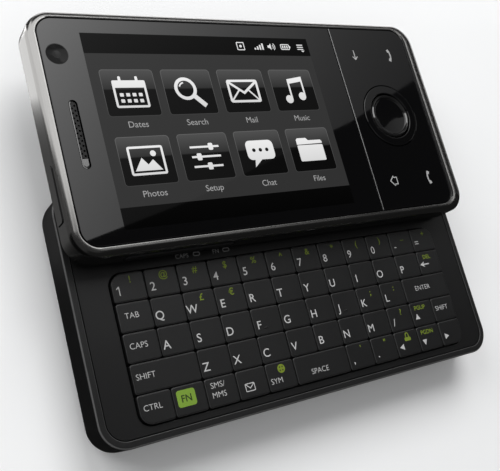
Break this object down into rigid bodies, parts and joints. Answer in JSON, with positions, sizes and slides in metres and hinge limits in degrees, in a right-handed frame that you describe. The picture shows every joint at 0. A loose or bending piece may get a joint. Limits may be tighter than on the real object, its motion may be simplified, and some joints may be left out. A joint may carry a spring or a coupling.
{
  "type": "slider phone",
  "caption": "Side-sliding phone: a display half with a ring pad slides along its own width off a base that holds a full keyboard, a battery and a stylus.",
  "frame": {"origin": "middle of the flat back of the base", "axes": "+X along the body towards the ring pad, +Y the way the display half slides open, +Z out of the screen"},
  "size_m": [0.1022, 0.0856, 0.0183],
  "materials": {
    "housing_black": "soft black paint",
    "cover_black": "soft black paint",
    "deck_black": "satin black",
    "mat_rubber": "matt silicone",
    "circuit_green": "solder mask",
    "battery_label": "grey label over a metal can",
    "plain_steel": "plain steel",
    "dark_metal": "dark grey plate",
    "module_black": "black moulding",
    "smoked_glass": "smoked, polished",
    "clear_lens": "frosted lens",
    "stylus_black": "satin black",
    "key_black": "satin black with light legends",
    "key_green": "satin black with a green badge",
    "frame_metal": "brushed metallic with a bright bevel",
    "face_glass": "black-backed glass, polished",
    "lcd_panel": "lit screen",
    "nav_gloss": "polished black"
  },
  "bodies": {
    "base": {"base_housing": "housing_black", "keyboard_bezel": "deck_black", "key_mat": "mat_rubber", "main_board": "circuit_green", "battery": "battery_label", "sim_holder": "plain_steel", "rear_camera_module": "module_black", "rear_camera_window": "smoked_glass", "flash_lens": "clear_lens", "loudspeaker": "dark_metal", "vibration_motor": "plain_steel", "usb_socket": "plain_steel", "stylus_silo": "module_black", "slide_runner_left": "plain_steel", "slide_runner_right": "plain_steel"},
    "display_half": {"display_frame": "frame_metal", "display_window": "face_glass", "slider_back_plate": "dark_metal", "display_board": "circuit_green", "lcd_module": "lcd_panel", "earpiece_grille": "dark_metal", "earpiece_speaker": "dark_metal", "front_camera_module": "module_black", "nav_dome_sheet": "mat_rubber"},
    "stylus": {"stylus": "stylus_black"},
    "battery_cover": {"battery_cover": "cover_black"},
    "power_button": {"power_button": "frame_metal"},
    "volume_rocker": {"volume_rocker": "frame_metal"},
    "nav_panel": {"nav_panel": "nav_gloss"},
    "nav_gimbal": {"nav_gimbal": "plain_steel"},
    "nav_ring": {"nav_ring": "nav_gloss"},
    "enter_button": {"enter_button": "nav_gloss"},
    "keys_1_to_6": {"keys_1_to_6": "key_black"},
    "keys_7_to_equals": {"keys_7_to_equals": "key_black"},
    "key_tab": {"key_tab": "key_black"},
    "keys_q_to_t": {"keys_q_to_t": "key_black"},
    "keys_y_to_p": {"keys_y_to_p": "key_black"},
    "key_backspace": {"key_backspace": "key_black"},
    "key_caps": {"key_caps": "key_black"},
    "keys_a_to_g": {"keys_a_to_g": "key_black"},
    "keys_h_to_l": {"keys_h_to_l": "key_black"},
    "key_enter": {"key_enter": "key_black"},
    "key_shift_left": {"key_shift_left": "key_black"},
    "keys_z_to_b": {"keys_z_to_b": "key_black"},
    "keys_n_to_slash": {"keys_n_to_slash": "key_black"},
    "key_up": {"key_up": "key_black"},
    "key_shift_right": {"key_shift_right": "key_black"},
    "key_ctrl": {"key_ctrl": "key_black"},
    "key_fn": {"key_fn": "key_green"},
    "key_message": {"key_message": "key_black"},
    "key_mail": {"key_mail": "key_black"},
    "key_symbol": {"key_symbol": "key_black"},
    "key_space": {"key_space": "key_black"},
    "keys_comma_and_stop": {"keys_comma_and_stop": "key_black"},
    "key_left": {"key_left": "key_black"},
    "key_down": {"key_down": "key_black"},
    "key_right": {"key_right": "key_black"}
  },
  "joints": [
    {"name": "slide_open", "type": "slide", "parent": "base", "child": "display_half", "axis": [0, 1, 0], "range_m": [-0.0346, 0]},
    {"name": "stylus_slide", "type": "slide", "parent": "base", "child": "stylus", "axis": [1, 0, 0], "range_m": [0, 0.08]},
    {"name": "battery_cover_lift", "type": "slide", "parent": "base", "child": "battery_cover", "axis": [0, 0, -1], "range_m": [0, 0.02]},
    {"name": "power_press", "type": "slide", "parent": "display_half", "child": "power_button", "axis": [1, 0, 0], "range_m": [0, 0.00035], "stiffness_N_per_m": 500},
    {"name": "volume_rock", "type": "hinge", "parent": "display_half", "child": "volume_rocker", "pos_m": [-0.028, 0.0107, 0.0141], "axis": [0, 0, 1], "range_deg": [-1.5, 1.5], "stiffness_Nm_per_rad": 0.2},
    {"name": "nav_panel_rock", "type": "hinge", "parent": "display_half", "child": "nav_panel", "pos_m": [0.0347, 0.0346, 0.0167], "axis": [1, 0, 0], "range_deg": [-0.45, 0.45], "stiffness_Nm_per_rad": 0.6},
    {"name": "nav_gimbal_rock", "type": "hinge", "parent": "display_half", "child": "nav_gimbal", "pos_m": [0.0347, 0.0346, 0.0156], "axis": [1, 0, 0], "range_deg": [-1.5, 1.5], "stiffness_Nm_per_rad": 0.05},
    {"name": "nav_ring_rock", "type": "hinge", "parent": "nav_gimbal", "child": "nav_ring", "pos_m": [0.0347, 0.0346, 0.0156], "axis": [0, 1, 0], "range_deg": [-1.5, 1.5], "stiffness_Nm_per_rad": 0.05},
    {"name": "enter_press", "type": "slide", "parent": "display_half", "child": "enter_button", "axis": [0, 0, -1], "range_m": [0, 0.00035], "stiffness_N_per_m": 400},
    {"name": "key_fn_press", "type": "slide", "parent": "base", "child": "key_fn", "axis": [0, 0, -1], "range_m": [0, 0.0003], "stiffness_N_per_m": 300},
    {"name": "key_space_press", "type": "slide", "parent": "base", "child": "key_space", "axis": [0, 0, -1], "range_m": [0, 0.0003], "stiffness_N_per_m": 300},
    {"name": "key_enter_press", "type": "slide", "parent": "base", "child": "key_enter", "axis": [0, 0, -1], "range_m": [0, 0.0003], "stiffness_N_per_m": 300},
    {"name": "key_backspace_press", "type": "slide", "parent": "base", "child": "key_backspace", "axis": [0, 0, -1], "range_m": [0, 0.0003], "stiffness_N_per_m": 300},
    {"name": "key_shift_left_press", "type": "slide", "parent": "base", "child": "key_shift_left", "axis": [0, 0, -1], "range_m": [0, 0.0003], "stiffness_N_per_m": 300},
    {"name": "key_shift_right_press", "type": "slide", "parent": "base", "child": "key_shift_right", "axis": [0, 0, -1], "range_m": [0, 0.0003], "stiffness_N_per_m": 300},
    {"name": "key_tab_press", "type": "slide", "parent": "base", "child": "key_tab", "axis": [0, 0, -1], "range_m": [0, 0.0003], "stiffness_N_per_m": 300},
    {"name": "key_caps_press", "type": "slide", "parent": "base", "child": "key_caps", "axis": [0, 0, -1], "range_m": [0, 0.0003], "stiffness_N_per_m": 300},
    {"name": "key_ctrl_press", "type": "slide", "parent": "base", "child": "key_ctrl", "axis": [0, 0, -1], "range_m": [0, 0.0003], "stiffness_N_per_m": 300},
    {"name": "key_message_press", "type": "slide", "parent": "base", "child": "key_message", "axis": [0, 0, -1], "range_m": [0, 0.0003], "stiffness_N_per_m": 300},
    {"name": "key_mail_press", "type": "slide", "parent": "base", "child": "key_mail", "axis": [0, 0, -1], "range_m": [0, 0.0003], "stiffness_N_per_m": 300},
    {"name": "key_symbol_press", "type": "slide", "parent": "base", "child": "key_symbol", "axis": [0, 0, -1], "range_m": [0, 0.0003], "stiffness_N_per_m": 300},
    {"name": "key_up_press", "type": "slide", "parent": "base", "child": "key_up", "axis": [0, 0, -1], "range_m": [0, 0.0003], "stiffness_N_per_m": 300},
    {"name": "key_left_press", "type": "slide", "parent": "base", "child": "key_left", "axis": [0, 0, -1], "range_m": [0, 0.0003], "stiffness_N_per_m": 300},
    {"name": "key_down_press", "type": "slide", "parent": "base", "child": "key_down", "axis": [0, 0, -1], "range_m": [0, 0.0003], "stiffness_N_per_m": 300},
    {"name": "key_right_press", "type": "slide", "parent": "base", "child": "key_right", "axis": [0, 0, -1], "range_m": [0, 0.0003], "stiffness_N_per_m": 300},
    {"name": "keys_1_to_6_press", "type": "slide", "parent": "base", "child": "keys_1_to_6", "axis": [0, 0, -1], "range_m": [0, 0.0003], "stiffness_N_per_m": 300},
    {"name": "keys_7_to_equals_press", "type": "slide", "parent": "base", "child": "keys_7_to_equals", "axis": [0, 0, -1], "range_m": [0, 0.0003], "stiffness_N_per_m": 300},
    {"name": "keys_q_to_t_press", "type": "slide", "parent": "base", "child": "keys_q_to_t", "axis": [0, 0, -1], "range_m": [0, 0.0003], "stiffness_N_per_m": 300},
    {"name": "keys_y_to_p_press", "type": "slide", "parent": "base", "child": "keys_y_to_p", "axis": [0, 0, -1], "range_m": [0, 0.0003], "stiffness_N_per_m": 300},
    {"name": "keys_a_to_g_press", "type": "slide", "parent": "base", "child": "keys_a_to_g", "axis": [0, 0, -1], "range_m": [0, 0.0003], "stiffness_N_per_m": 300},
    {"name": "keys_h_to_l_press", "type": "slide", "parent": "base", "child": "keys_h_to_l", "axis": [0, 0, -1], "range_m": [0, 0.0003], "stiffness_N_per_m": 300},
    {"name": "keys_z_to_b_press", "type": "slide", "parent": "base", "child": "keys_z_to_b", "axis": [0, 0, -1], "range_m": [0, 0.0003], "stiffness_N_per_m": 300},
    {"name": "keys_n_to_slash_press", "type": "slide", "parent": "base", "child": "keys_n_to_slash", "axis": [0, 0, -1], "range_m": [0, 0.0003], "stiffness_N_per_m": 300},
    {"name": "keys_comma_and_stop_press", "type": "slide", "parent": "base", "child": "keys_comma_and_stop", "axis": [0, 0, -1], "range_m": [0, 0.0003], "stiffness_N_per_m": 300}
  ]
}
